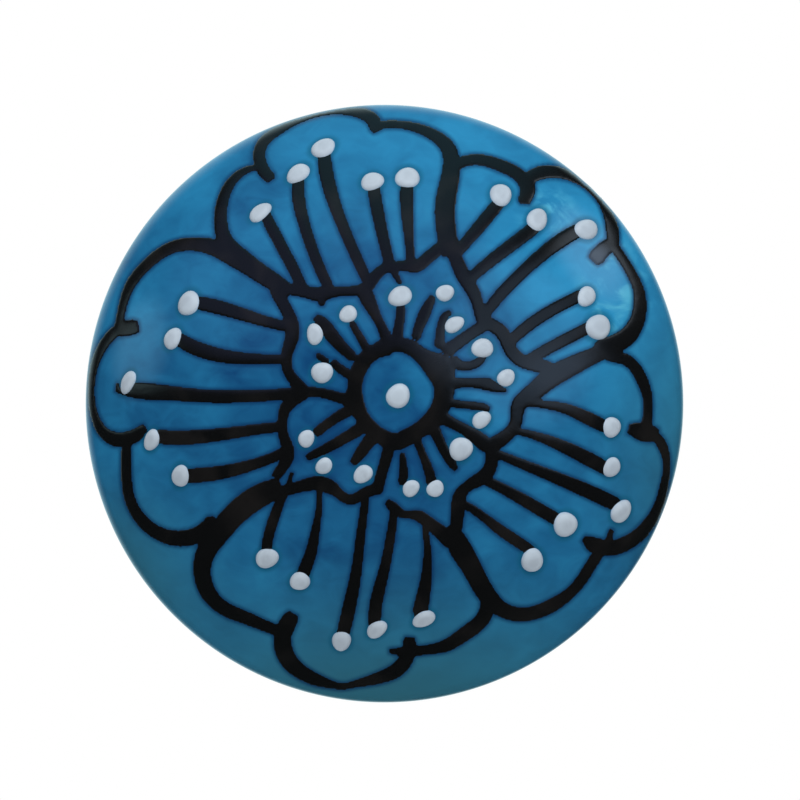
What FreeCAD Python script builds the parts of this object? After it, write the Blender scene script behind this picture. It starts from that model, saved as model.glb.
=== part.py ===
"""A cabinet knob: a domed, glazed ceramic head on a turned metal ferrule, with a bolt cemented into its back.

The knob's axis is horizontal. Its face looks towards -Y, +Z is up, and the origin is on the bolt's axis in the
plane where the ferrule meets the door, so the bolt leaves along +Y. All sizes are in millimetres.
"""

import FreeCAD, Part
import math
import os

Vector = FreeCAD.Vector

# Ceramic head
head_diameter = 40.0
dome_radius = 25.0            # radius of the ball that the face is a part of
rim_radius = 3.0              # rounding of the widest edge
back_angle = 28.0             # degrees between the back of the head and the face's plane
neck_diameter = 16.0
neck_hollow = 5.0             # radius of the hollow curve between the back and the neck

# Socket in the neck, which takes the bolt's head and the cement
socket_diameter = 9.6
socket_depth = 12.0

# Raised lines and dots on the glaze
line_height = 0.3
dot_height = 0.5
dot_top_share = 0.55          # a dot's flattened top, as a share of its width
dot_sides = 12
dot_root = 0.1                # how far a dot is started below the glaze before it is trimmed to it

# Metal ferrule
ferrule_floor = 1.0
ferrule_wall = 0.8
ferrule_height = 5.8          # the head's hollow curve starts at this lip
foot_diameter = 22.0
foot_edge = 1.4               # upright edge of the foot
foot_step = 0.7               # width of the ledge inside that edge
collar_start = 4.6            # where the ferrule's taper ends and its collar starts
lip_chamfer = 0.3
cup_clearance = 0.1           # between the neck and the ferrule's wall
bolt_hole_diameter = 4.4

# Bolt, an M4 with a hexagonal head
thread_diameter = 4.0
thread_length = 35.0
shank_diameter = 3.5
bolt_head_across_flats = 7.0
bolt_head_height = 2.8
bolt_head_seat = 8.0          # from the door to the underside of the bolt's head
thread_chamfer = 0.5

# The face is read from a square-on photograph: its disc has this centre and radius there, in pixels.
photo_centre_across = 384.5
photo_centre_down = 403.6
photo_radius = 298.8

# Every line below is a run of points (across, down, width) along its middle, in the photograph's pixels.
petal_outlines = {
    "upper_left_left_lobe": [
        (255, 168, 6), (232, 182.5, 9.5), (221.5, 214, 12.5), (227, 243, 16), (240, 258, 20), (256, 270.5, 19),
        (272, 281, 18), (287, 291, 15)],
    "upper_left_middle_lobe": [
        (269.5, 177.5, 12.5), (260.5, 163, 12.5), (261, 147.5, 11.5), (275.5, 132.5, 9.5), (300, 120.5, 5.5),
        (330, 112.3, 5.5), (356, 112.5, 10), (372, 119.5, 13.5), (376, 128, 13)],
    "upper_left_right_lobe": [
        (383, 125.3, 8), (400, 125.2, 8), (425, 131.5, 10.5), (448.3, 150, 15), (450.5, 175, 18), (445, 205, 20),
        (445.7, 230, 19.5), (449, 250, 20)],
    "upper_right_left_lobe": [
        (457, 165.5, 11.5), (478, 160.5, 11), (502, 167, 12.5), (518, 175.5, 13), (526, 185, 15), (524.4, 200, 14)],
    "upper_right_middle_lobe": [
        (530, 178, 13), (550, 172, 13), (580, 182, 7.5), (600, 201, 6.5), (611, 225, 12), (612, 246, 13)],
    "upper_right_notch": [(606, 247, 14), (596, 257.5, 16.5)],
    "upper_right_right_lobe": [
        (613, 246, 10), (622, 259, 9.5), (632.5, 276.5, 10), (638, 290, 11), (639.5, 304, 13), (636.5, 321, 15),
        (627, 336, 17.5), (610, 345.5, 18), (600, 348, 16)],
    "right_divider": [
        (606, 350, 15), (590, 357, 16), (577.3, 363, 18), (555, 374.5, 20), (541, 384.5, 19), (529, 395, 17),
        (519, 403.5, 15), (516, 413, 13), (515, 422, 12), (510.5, 430.5, 12), (503, 437.5, 13), (492, 444.5, 14)],
    "right_top_lobe": [
        (606, 353, 14), (616, 357, 12.5), (626, 360.5, 11.5), (635, 369, 11.5), (641.5, 381, 11.5),
        (646, 394, 10), (647.2, 406, 9.5), (645.5, 428, 10.5)],
    "right_notch": [(632, 429.5, 13), (640, 431.5, 18), (652, 434, 16)],
    "right_middle_lobe": [
        (652, 434, 10), (664, 451, 9), (666.3, 467, 7), (664.2, 483, 8.2), (660.3, 500, 9.5), (654, 515, 11),
        (642, 531, 13), (634, 538, 13.5), (624, 543.7, 14.7), (612.5, 547.5, 15), (601, 547, 16),
        (591.5, 543.5, 15), (585.5, 539.5, 9)],
    "right_spur": [(610.5, 530.5, 5), (607, 543, 7)],
    "right_lower_lobe": [
        (600, 547, 10), (596.7, 554.5, 11), (591.5, 562.5, 10.7), (583.9, 575, 11), (571.8, 590, 10.7),
        (553.9, 603.4, 13), (537.2, 611, 13.5), (521, 613.6, 14), (504, 609.8, 15), (492.5, 601, 17),
        (483.6, 589.5, 18.5), (476.5, 577, 19), (469.3, 563.2, 20.3), (461.6, 550.5, 22), (455, 537, 19)],
    "lower_left_lobe": [
        (276, 488, 20), (259, 496, 23), (244, 506.3, 23), (230.5, 519.3, 22.5), (217, 536, 21), (205, 556, 18.5),
        (203, 572, 17), (206.5, 587, 16.5), (215, 600, 15), (231, 611, 14), (245, 616.5, 13), (262, 623.5, 11.5),
        (281, 631, 11)],
    "lower_notch": [(291.5, 617, 15), (286, 627, 17), (283, 636, 15)],
    "lower_middle_lobe": [
        (283, 634, 16), (283, 642, 17.5), (285, 652, 17.5), (292.5, 664, 16.5), (303, 672.5, 14.5),
        (318, 679.8, 12), (330, 683.5, 8.5), (343, 685.8, 6.3), (355, 683.5, 6.8), (372, 679.3, 10.5),
        (384, 675.5, 12.5), (394, 671, 14), (403, 663, 14.5), (408, 653, 13.5), (409.5, 640.5, 12.5)],
    "lower_spur": [(391, 650, 5), (403, 651, 9)],
    "lower_right_lobe": [
        (408, 652, 9), (417.5, 650, 9.3), (430, 648.3, 9.5), (442, 646, 11.5), (452, 641.5, 12.7),
        (463, 634, 14), (475.3, 625, 14.2), (482.5, 617.5, 14.3), (486.5, 608, 14.5), (487, 597, 15)],
    "left_top_lobe": [
        (252, 268, 18), (231, 255, 20), (203, 245.5, 14.5), (173, 247.8, 12), (149.5, 263, 11), (130.5, 286, 10),
        (122, 312, 8), (119, 330, 9)],
    "left_notch": [(121, 329, 16), (134.5, 327.3, 15)],
    "left_middle_lobe": [
        (117, 331, 11), (99, 354, 9), (91.5, 388, 7), (97.3, 421.5, 9), (106, 434, 12), (119, 439.5, 14.5),
        (133, 437, 13.5), (144, 430, 11)],
    "left_lower_lobe": [
        (127, 446, 9), (127.5, 479, 10.5), (131, 500, 11), (146.5, 524, 12.5), (163, 534.5, 14), (182, 538, 15.5),
        (212, 523, 16)],
}

inner_outlines = {
    "first_left": [
        (277, 289, 14), (286.2, 308.4, 12), (290.5, 317, 12.5), (293.3, 327, 13.5), (293, 337, 13.5),
        (289, 350, 11.5), (287.3, 360, 10), (289, 371, 10), (301, 387, 11), (306, 393, 11)],
    "first_top": [
        (280, 288.5, 12), (297, 291, 11.5), (308.5, 293.2, 12.5), (321, 295.5, 14), (333, 293, 11),
        (345, 292, 9.5), (357, 291.5, 10), (369, 286.5, 11)],
    "first_notch": [(322, 299, 9), (322.3, 304.5, 6)],
    "second_top": [
        (368, 287, 12), (375, 278, 11), (383, 270.5, 10), (394, 267.3, 9.5), (405, 267.3, 9.8), (415, 267.5, 12),
        (427.3, 259.3, 12), (438, 250.5, 12), (445, 246, 13)],
    "second_stub": [(391, 268, 7), (395.7, 276.5, 6), (400, 283.5, 4.5)],
    "first_and_second": [
        (364, 290, 14), (369, 302, 14), (374, 312, 10.5), (378, 320, 8.5), (382, 328, 8.5), (388, 345, 13)],
    "second_right": [
        (450, 249, 13), (457, 263.5, 13.5), (461.7, 274.5, 14), (468.4, 285.7, 13.5), (474.5, 297, 12.5),
        (478, 308, 11.5), (483.5, 321, 14), (495, 328, 13), (503, 336, 13.5), (509.5, 350, 13), (519, 360, 13),
        (531, 364.5, 13), (548, 369, 14)],
    "second_and_third": [(483, 326, 12), (465, 338, 11), (447, 351, 12)],
    "third_and_fourth": [
        (440, 416, 14), (448, 421, 10.5), (457, 425.5, 9.5), (466, 430.5, 11), (477, 438, 14), (487, 446, 14)],
    "fourth_right": [
        (490.5, 446, 14), (491, 459, 12.5), (488, 470, 13), (476, 480.5, 13), (464.3, 488, 10.5), (459, 496, 13),
        (457.5, 508, 13.5), (456.3, 520, 12.5), (454, 534, 14)],
    "fourth_bottom": [
        (389, 502.5, 7.5), (396, 509, 10), (405, 513.6, 7.5), (412, 513.8, 8.5), (418, 514.8, 11), (425, 519, 12),
        (433.5, 525.5, 12.5), (441, 531.5, 14.5), (449, 538.5, 17)],
    "fourth_and_fifth": [(390, 441, 12), (386.8, 456, 10.2), (381.5, 474, 9.8), (378, 489, 10)],
    "fifth_bottom": [
        (279, 492, 12), (291, 488.5, 11), (303, 485.2, 11.5), (313, 483, 13.3), (322, 483, 14), (330, 486, 14),
        (336, 489.7, 11), (342, 495, 9.5), (350, 498.7, 9.5), (357, 497, 9.8), (365, 492.5, 10), (376, 489, 10)],
    "fifth_left": [
        (304, 395, 10), (293, 401, 11), (286.5, 408, 11), (284, 416, 9.5), (283, 426, 9.5), (285, 437, 10),
        (288.5, 447, 11.5), (289, 456, 11.5), (284, 466, 10.5), (278, 474.5, 10)],
    "fifth_and_first": [(303, 393.5, 10), (318, 392.3, 8.5), (332, 395.3, 9), (350, 400, 11)],
    "fifth_sliver": [(292.5, 473, 4), (288, 488, 4)],
    "hub_right": [
        (380, 350, 16), (398, 345, 13), (411, 348.5, 14), (422, 356.5, 15), (438.5, 367.5, 28), (443.5, 384, 21),
        (442.5, 400, 18), (431, 420, 16), (404, 437, 14)],
    "hub_left": [
        (386, 349, 15), (370, 355.5, 14), (360.5, 367, 14.5), (355.3, 385, 13.5), (356.5, 403, 15),
        (362.7, 417, 13), (371.2, 427.7, 13.5), (391, 440.5, 16), (410, 436, 14)],
}

inner_spokes = {
    "first_upper": [(352.5, 324, 5.5), (359.3, 336, 6.5), (369, 353, 8)],
    "first_middle": [
        (318.5, 319.5, 9), (325, 326, 12.5), (331, 334, 13), (337, 341.5, 12), (344, 349, 10.5), (352, 356.5, 9.5)],
    "first_stub": [(319, 356, 5), (327, 362, 6)],
    "first_lower": [(334.5, 363.5, 7), (342, 370, 8), (352, 375.5, 9)],
    "second_left": [(401, 309, 8.5), (399, 326, 8.5), (396, 342, 11)],
    "second_middle": [(432, 299, 7), (428.5, 305.5, 9), (423.5, 316.5, 11), (419.5, 326, 9.5), (416, 337, 8)],
    "second_right": [(449, 313.5, 5), (445, 316, 6.5), (441.5, 324, 7.5), (440, 333, 8), (439, 345, 9)],
    "third_upper": [(454, 362, 11), (466, 366.3, 8.5), (478, 362, 7.5), (483, 356, 6)],
    "third_middle": [
        (450, 383, 10), (465, 383, 8.5), (477, 383.3, 9.5), (487, 384.5, 12), (496, 388, 8.5), (504, 390.5, 4.5)],
    "third_lower": [(446, 402.5, 9), (460, 404.3, 6.5), (472, 405.7, 7), (481, 406.8, 7.5), (487, 408.5, 5.5)],
    "fourth_left": [(402.5, 455, 4.5), (403.3, 465, 6.5), (403.2, 475, 8), (402.5, 482, 7)],
    "fourth_middle": [(415, 434, 9), (418, 443, 7), (424, 458, 7.3), (429, 471.5, 9), (431, 481, 10)],
    "fourth_right": [
        (432, 426, 13), (437.5, 437, 9.5), (442.5, 447.5, 9), (447.5, 456.5, 8.5), (452.3, 464, 8), (454.5, 468, 4.5)],
    "fifth_upper": [(348, 411, 10), (331, 421.5, 8.5), (318, 431.5, 8.5)],
    "fifth_middle": [(366, 425, 12), (340, 440.8, 9.5), (320, 451.5, 8), (309.5, 456.5, 6.5)],
    "fifth_lower": [(374, 434, 13), (366, 445.5, 11), (360, 454, 10), (354.5, 461, 7)],
}

stamens = {
    "upper_left": [
        [(264, 211, 11), (272, 227.8, 11.5), (287.5, 257, 11.5), (303, 289, 11)],
        [(299, 182, 11.5), (299, 198, 12.5), (305, 226, 11.5), (318.6, 265, 11), (331.5, 293, 10)],
        [(324.3, 156, 13), (328, 181, 14), (338.5, 215, 12), (355.2, 255, 11), (368.5, 284, 10)],
        [(373.5, 187, 12), (377.6, 212, 12.5), (385.5, 248, 11), (390, 266, 11)],
        [(407, 186, 12.5), (406.8, 210, 12.5), (409.3, 243, 9), (410, 267, 9)]],
    "upper_right": [
        [(499, 203, 12), (483.5, 222, 12.5), (464.5, 244.5, 11), (457, 253, 10)],
        [(533, 229, 13), (511, 245.8, 12.5), (485, 266, 11.5), (466, 283, 10)],
        [(582, 229, 13), (556, 244, 14), (528, 267, 12), (500.6, 294.3, 11.5), (485, 314, 10)],
        [(580, 296, 12), (555, 308.4, 11.5), (533, 322, 11.5), (506, 346, 9)],
        [(588, 327.5, 11), (566, 339.2, 11.5), (544, 350.7, 11), (522, 364, 10)]],
    "right": [
        [(606, 427.5, 12), (588.5, 419, 13), (566, 409.2, 10.5), (544, 404.5, 8), (520, 403, 7)],
        [(606, 469, 13), (588.5, 459.2, 14), (566, 448, 12.5), (544, 438.8, 9.5), (508, 429.5, 6.5)],
        [(614, 503.5, 14), (588.5, 491.5, 14), (555, 477.2, 12), (533, 468.3, 10.5), (490, 450.5, 8)],
        [(558, 520, 12.5), (546, 513, 12.5), (534, 506, 12.3), (510.5, 492.5, 11), (480, 477.5, 9)],
        [(530, 550, 11), (518, 541.5, 11), (501.7, 530.7, 10.7), (486, 518.5, 9), (470, 507, 7.8), (460, 501, 7)]],
    "lower": [
        [(267, 552, 10.5), (269, 537.3, 10.2), (271.7, 527, 10.2), (274.7, 518, 10.3), (279, 506, 9.5),
         (284, 494, 8.5)],
        [(303.5, 574, 13), (306.5, 565.5, 12.3), (310.2, 556, 11.8), (313, 546, 10.8), (315, 535.5, 9.3),
         (317.3, 523, 7.5), (319.3, 511, 6.2), (319.9, 500, 5.3), (320, 488, 5)],
        [(343, 634, 12.5), (348, 613, 13.2), (353.4, 588, 12), (357.8, 562, 10), (360.5, 538.5, 9.3),
         (363.3, 517, 8), (365.8, 496, 7)],
        [(375, 623, 12.5), (375.3, 608, 12.5), (379.3, 588, 12), (385.6, 563, 10), (390.6, 536, 9),
         (394.2, 511, 7.5)],
        [(420.5, 611, 15.5), (421.5, 603, 14.5), (425, 584.5, 12), (427.3, 562, 9), (427.2, 548, 7.3),
         (425.3, 530, 5.5), (424, 518, 5)]],
    "left": [
        [(196, 303, 13), (210, 305.5, 14), (240, 313.8, 13), (292, 328, 10.5)],
        [(180, 339.5, 13), (203, 350.8, 14.5), (236, 358, 12.5), (288, 359.5, 9)],
        [(120.5, 388, 11), (134, 390, 15.5), (166, 392.7, 15), (205, 396, 13), (242, 396.5, 12), (300, 392.5, 10)],
        [(160, 436.5, 14), (203, 436.3, 13.5), (245, 431, 11), (282, 426.5, 10)],
        [(186, 475.5, 14), (222, 472, 13.5), (252, 464.8, 11), (286, 451.5, 10)]],
}

# Every dot is (across, down, diameter) in the photograph's pixels. The diameter is its widest, because a dot on
# the slope near the rim is seen at a slant.
dots = {
    "centre": [(398, 396, 25.5)],
    "upper_left": [(261, 213.5, 24), (299.7, 175.6, 25), (323.7, 148.8, 26), (372.5, 182.5, 24), (407.5, 179, 25)],
    "upper_right": [(500, 196, 24), (537, 220.6, 25), (585.6, 230, 26), (585.7, 297, 23), (597, 327.5, 28)],
    "right": [(610.7, 427, 23), (610.3, 467, 23), (620.4, 511, 27), (564.4, 523.5, 27), (531.5, 559, 26)],
    "lower": [(267.8, 556.8, 25), (300.6, 579.7, 23), (341.7, 639.4, 23), (376.8, 628, 22), (423.6, 617.6, 24)],
    "left": [(190, 303.8, 27), (173.8, 338.8, 24), (129.4, 382.5, 25), (153, 439.7, 23), (181.7, 475.3, 24)],
    "inner_first": [(348.6, 315.2, 19), (315.5, 334.7, 22), (322.8, 372.6, 23)],
    "inner_second": [(400.2, 297.4, 24), (444.6, 293.6, 19), (453.8, 324.8, 20)],
    "inner_third": [(481.6, 348.5, 22), (504.9, 377.8, 20), (481, 419.3, 20)],
    "inner_fourth": [(460.3, 448.5, 25), (434.7, 487.8, 19), (410.8, 487.4, 19)],
    "inner_fifth": [(363.3, 473.4, 20), (324.5, 465.4, 18.5), (307.4, 438.4, 18.5)],
}

head_radius = head_diameter / 2
neck_radius = neck_diameter / 2
neck_end = ferrule_floor
pixel = head_radius / photo_radius


def point(radius, out):
    """A point of a profile: radius from the axis, and distance out from the door."""
    return Vector(radius, -out, 0)


def line(start, end):
    return Part.LineSegment(start, end).toShape()


def arc(start, middle, end):
    return Part.Arc(start, middle, end).toShape()


def turned(edges):
    """A solid of revolution about the knob's axis."""
    face = Part.Face(Part.Wire(edges))
    return face.revolve(Vector(0, 0, 0), Vector(0, 1, 0), 360)


def disc(radius, start, end):
    """A round bar on the axis between two distances out from the door."""
    return Part.makeCylinder(radius, end - start, Vector(0, -start, 0), Vector(0, -1, 0))


def rim_centre():
    """Where the rim's round is centred: across from the axis, and out from the door.

    The back's cone and its hollow curve hold it clear of the ferrule's lip.
    """
    slope = math.radians(back_angle)
    across = head_radius - rim_radius
    cone_run = (across + (rim_radius + neck_hollow) * math.sin(slope) - neck_radius - neck_hollow) / math.cos(slope)
    out = ferrule_height + cone_run * math.sin(slope) + (neck_hollow + rim_radius) * math.cos(slope)
    return across, out


def ball_centre():
    """How far out from the door the ball is centred that the face is a part of."""
    across, out = rim_centre()
    return out - math.sqrt((dome_radius - rim_radius) ** 2 - across**2)


def head_outside(skin):
    """The head's outer form, grown by a skin at its front.

    The face is a ball's cap that runs smoothly into the rim's round. Behind the rim the back is a shallow cone,
    which a hollow curve turns into the neck.
    """
    ball = dome_radius + skin
    rim = rim_radius + skin
    rim_across, rim_out = rim_centre()
    ball_out = ball_centre()
    lean = math.atan2(rim_across, rim_out - ball_out)
    slope = math.radians(back_angle)

    face_out = ball_out + ball * math.cos(lean)
    face_edge = point(ball * math.sin(lean), face_out)
    half_way = (lean + math.pi - slope) / 2
    rim_middle = point(rim_across + rim * math.sin(half_way), rim_out + rim * math.cos(half_way))
    back_radius = rim_across + rim * math.sin(slope)
    back_out = rim_out - rim * math.cos(slope)

    # The hollow curve touches both the back's cone and the neck.
    hollow_across = neck_radius + neck_hollow
    run = (back_radius + neck_hollow * math.sin(slope) - hollow_across) / math.cos(slope)
    hollow_out = back_out - run * math.sin(slope) - neck_hollow * math.cos(slope)
    hollow_middle = (math.pi / 2 - slope) / 2
    back_edge = point(back_radius, back_out)
    back_foot = point(hollow_across - neck_hollow * math.sin(slope), hollow_out + neck_hollow * math.cos(slope))
    hollow_point = point(
        hollow_across - neck_hollow * math.cos(hollow_middle),
        hollow_out + neck_hollow * math.sin(hollow_middle),
    )
    neck_top = point(neck_radius, hollow_out)
    neck_foot = point(neck_radius, neck_end)
    body = turned([
        line(point(0, face_out), face_edge),
        arc(face_edge, rim_middle, back_edge),
        line(back_edge, back_foot),
        arc(back_foot, hollow_point, neck_top),
        line(neck_top, neck_foot),
        line(neck_foot, point(0, neck_end)),
        line(point(0, neck_end), point(0, face_out)),
    ])
    whole_ball = Part.makeSphere(ball, Vector(0, -ball_out, 0), Vector(0, 0, 1))
    cap = whole_ball.common(disc(2 * ball, face_out, face_out + ball))
    return body.fuse(cap)


def socket():
    """The blind hole in the neck."""
    return disc(socket_diameter / 2, neck_end, neck_end + socket_depth)


def ceramic_head():
    return head_outside(0).cut(socket())


def on_face(across, down):
    """A photograph pixel as a place on the face, seen square-on."""
    return Vector((across - photo_centre_across) * pixel, 0, (photo_centre_down - down) * pixel)


def blunt_end(first, second, way):
    """The end of a brushed line: three short straight sides that stand in for a half circle."""
    middle = (first + second) / 2
    reach = way * ((second - first).Length / 2)
    bevel = (second - first) * (math.sqrt(0.5) / 2)
    corners = [first, middle - bevel + reach * math.sqrt(0.5), middle + bevel + reach * math.sqrt(0.5), second]
    return [line(corners[i], corners[i + 1]) for i in range(3)]


def stroke(points):
    """One brushed line as a flat face: a smooth edge on each side of its middle, and a blunt end at each end."""
    middle = [on_face(across, down) for across, down, width in points]
    half = [width * pixel / 2 for across, down, width in points]
    last = len(middle) - 1
    along = []
    for i in range(last + 1):
        before = middle[i] - middle[max(i - 1, 0)]
        after = middle[min(i + 1, last)] - middle[i]
        way = before + after
        if before.Length > 0 and after.Length > 0:
            way = before * (after.Length / before.Length) + after * (before.Length / after.Length)
        along.append(way.normalize())
    sides = [Vector(-way.z, 0, way.x) for way in along]
    left = [middle[i] + sides[i] * half[i] for i in range(last + 1)]
    right = [middle[i] - sides[i] * half[i] for i in range(last + 1)]
    left_edge = Part.BSplineCurve()
    left_edge.interpolate(left)
    right_edge = Part.BSplineCurve()
    right_edge.interpolate(right[::-1])
    end = blunt_end(left[last], right[last], along[last])
    start = blunt_end(right[0], left[0], along[0] * -1)
    return Part.Face(Part.Wire([left_edge.toShape()] + end + [right_edge.toShape()] + start))


def place_on_dome(across, down):
    """The point of the glaze under a photograph pixel, and the way out of the surface there."""
    flat = on_face(across, down)
    rim_across, rim_out = rim_centre()
    radius = flat.Length
    if radius <= dome_radius * rim_across / (dome_radius - rim_radius):
        centre = Vector(0, -ball_centre(), 0)
        out = ball_centre() + math.sqrt(dome_radius**2 - radius**2)
    else:
        centre = Vector(flat.x / radius * rim_across, -rim_out, flat.z / radius * rim_across)
        out = rim_out + math.sqrt(rim_radius**2 - (radius - rim_across) ** 2)
    place = Vector(flat.x, -out, flat.z)
    return place, (place - centre).normalize()


def dot_form(across, down, diameter):
    """A low blunt cone of many sides that stands square on the glaze and starts a little below it."""
    radius = diameter * pixel / 2
    top = radius * dot_top_share
    root = radius + (radius - top) * dot_root / dot_height
    place, way = place_on_dome(across, down)
    turn = FreeCAD.Rotation(Vector(0, 0, 1), way)
    rings = []
    for size, height in ((root, -dot_root), (top, dot_height)):
        corners = [
            place + turn.multVec(Vector(size * math.cos(angle), size * math.sin(angle), height))
            for angle in [2 * math.pi * i / dot_sides for i in range(dot_sides)]
        ]
        rings.append(Part.makePolygon(corners + corners[:1]))
    return Part.makeLoft(rings, True, True)


def raised_dots(head, forms):
    return Part.makeCompound([form.cut(head) for form in forms])


def flower_lines(head, forms):
    """All the brushed lines, grown together where they cross, as a thin skin on the glaze that the dots cover."""
    outlines = [points for group in (petal_outlines, inner_outlines, inner_spokes) for points in group.values()]
    outlines += [points for petal in stamens.values() for points in petal]
    widest = rim_centre()[1]
    prisms = []
    for points in outlines:
        face = stroke(points)
        face.translate(Vector(0, -widest, 0))
        prisms.append(face.extrude(Vector(0, -dome_radius, 0)))
    drawing = prisms[0].multiFuse(prisms[1:]).removeSplitter()
    skin = head_outside(line_height).cut(head)
    return drawing.common(skin).cut(Part.makeCompound(forms))


def base_ferrule():
    """A turned cup that the neck stands in, on a stepped foot."""
    inner = neck_radius + cup_clearance
    outer = inner + ferrule_wall
    foot = foot_diameter / 2
    hole = bolt_hole_diameter / 2
    corners = [
        point(hole, 0),
        point(foot, 0),
        point(foot, foot_edge),
        point(foot - foot_step, foot_edge),
        point(outer, collar_start),
        point(outer, ferrule_height - lip_chamfer),
        point(outer - lip_chamfer, ferrule_height),
        point(inner, ferrule_height),
        point(inner, ferrule_floor),
        point(hole, ferrule_floor),
    ]
    return turned([line(corners[i - 1], corners[i]) for i in range(len(corners))])


def fixing_bolt():
    """The hexagonal head and plain shank that the cement holds, and the threaded length at its outside size."""
    corner = bolt_head_across_flats / math.sqrt(3)
    corners = [
        Vector(corner * math.cos(math.radians(60 * i)), -bolt_head_seat, corner * math.sin(math.radians(60 * i)))
        for i in range(6)
    ]
    head = Part.Face(Part.makePolygon(corners + corners[:1])).extrude(Vector(0, -bolt_head_height, 0))
    shank = disc(shank_diameter / 2, 0, bolt_head_seat)
    radius = thread_diameter / 2
    end = -thread_length
    thread = turned([
        line(point(0, 0), point(radius, 0)),
        line(point(radius, 0), point(radius, end + thread_chamfer)),
        line(point(radius, end + thread_chamfer), point(radius - thread_chamfer, end)),
        line(point(radius - thread_chamfer, end), point(0, end)),
        line(point(0, end), point(0, 0)),
    ])
    return head.multiFuse([shank, thread]).removeSplitter()


def anchor_cement(bolt):
    """What fills the socket round the bolt."""
    return socket().cut(bolt)


def main():
    head_form = head_outside(0)
    forms = [dot_form(*dot) for group in dots.values() for dot in group]
    bolt = fixing_bolt()
    nodes = {
        "ceramic_head": ceramic_head(),
        "flower_lines": flower_lines(head_form, forms),
        "raised_dots": raised_dots(head_form, forms),
        "base_ferrule": base_ferrule(),
        "fixing_bolt": bolt,
        "anchor_cement": anchor_cement(bolt),
    }
    os.makedirs("parts", exist_ok=True)
    for name, shape in nodes.items():
        shape.exportStep("parts/" + name + ".step")
        print(name, "solids", len(shape.Solids), "valid", shape.isValid(), "volume", round(shape.Volume, 2))


main()
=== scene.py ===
import math

import bpy
import numpy as np
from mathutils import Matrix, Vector


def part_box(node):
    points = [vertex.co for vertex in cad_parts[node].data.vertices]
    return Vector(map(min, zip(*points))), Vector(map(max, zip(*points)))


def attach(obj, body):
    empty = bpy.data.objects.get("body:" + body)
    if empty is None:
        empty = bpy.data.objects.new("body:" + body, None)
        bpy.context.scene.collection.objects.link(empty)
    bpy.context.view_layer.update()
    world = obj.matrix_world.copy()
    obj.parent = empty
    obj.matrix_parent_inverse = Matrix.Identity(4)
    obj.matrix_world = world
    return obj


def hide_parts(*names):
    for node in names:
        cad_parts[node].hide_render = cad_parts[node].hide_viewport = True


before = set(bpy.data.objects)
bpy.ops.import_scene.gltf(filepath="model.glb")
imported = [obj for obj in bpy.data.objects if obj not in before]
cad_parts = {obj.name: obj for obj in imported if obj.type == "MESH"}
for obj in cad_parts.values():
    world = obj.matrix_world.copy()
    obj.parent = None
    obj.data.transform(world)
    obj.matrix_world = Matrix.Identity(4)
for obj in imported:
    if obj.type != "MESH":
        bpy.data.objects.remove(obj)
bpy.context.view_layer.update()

bl_info = {
    "name": "Hand-painted cabinet knob",
    "version": (1, 0, 0),
    "blender": (4, 5, 0),
    "location": "3D View > Sidebar > Knob",
    "description": "Dresses the frame of a cabinet knob with glaze, trailed lines, beads and metal",
    "category": "Object",
}

MM = 0.001

# Sizes that follow the frame, in metres
HEAD_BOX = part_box("ceramic_head")
FERRULE_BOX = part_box("base_ferrule")
CEMENT_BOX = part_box("anchor_cement")
BOLT_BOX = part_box("fixing_bolt")
HEAD_RADIUS = HEAD_BOX[1].x
FACE_OUT = -HEAD_BOX[0].y
SOCKET_RADIUS = CEMENT_BOX[1].x
SOCKET_OUT = -CEMENT_BOX[0].y
NECK_OUT = -CEMENT_BOX[1].y
FOOT_RADIUS = FERRULE_BOX[1].x
FERRULE_OUT = -FERRULE_BOX[0].y
BOLT_HEAD_OUT = -BOLT_BOX[0].y
THREAD_OUT = -BOLT_BOX[1].y

# Sizes that the frame's boxes don't give
BALL_RADIUS = 25 * MM
RIM_RADIUS = 3 * MM
BACK_ANGLE = 28
NECK_RADIUS = 8 * MM
NECK_HOLLOW = 5 * MM
NEARLY_NOTHING = 0.001 * MM

# The face is read from a square-on photograph: its disc has this centre and radius there, in pixels.
PHOTO_WIDTH = 800
PHOTO_CENTRE_ACROSS = 384.5
PHOTO_CENTRE_DOWN = 403.6
PHOTO_RADIUS = 298.8
PIXEL = HEAD_RADIUS / PHOTO_RADIUS

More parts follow.
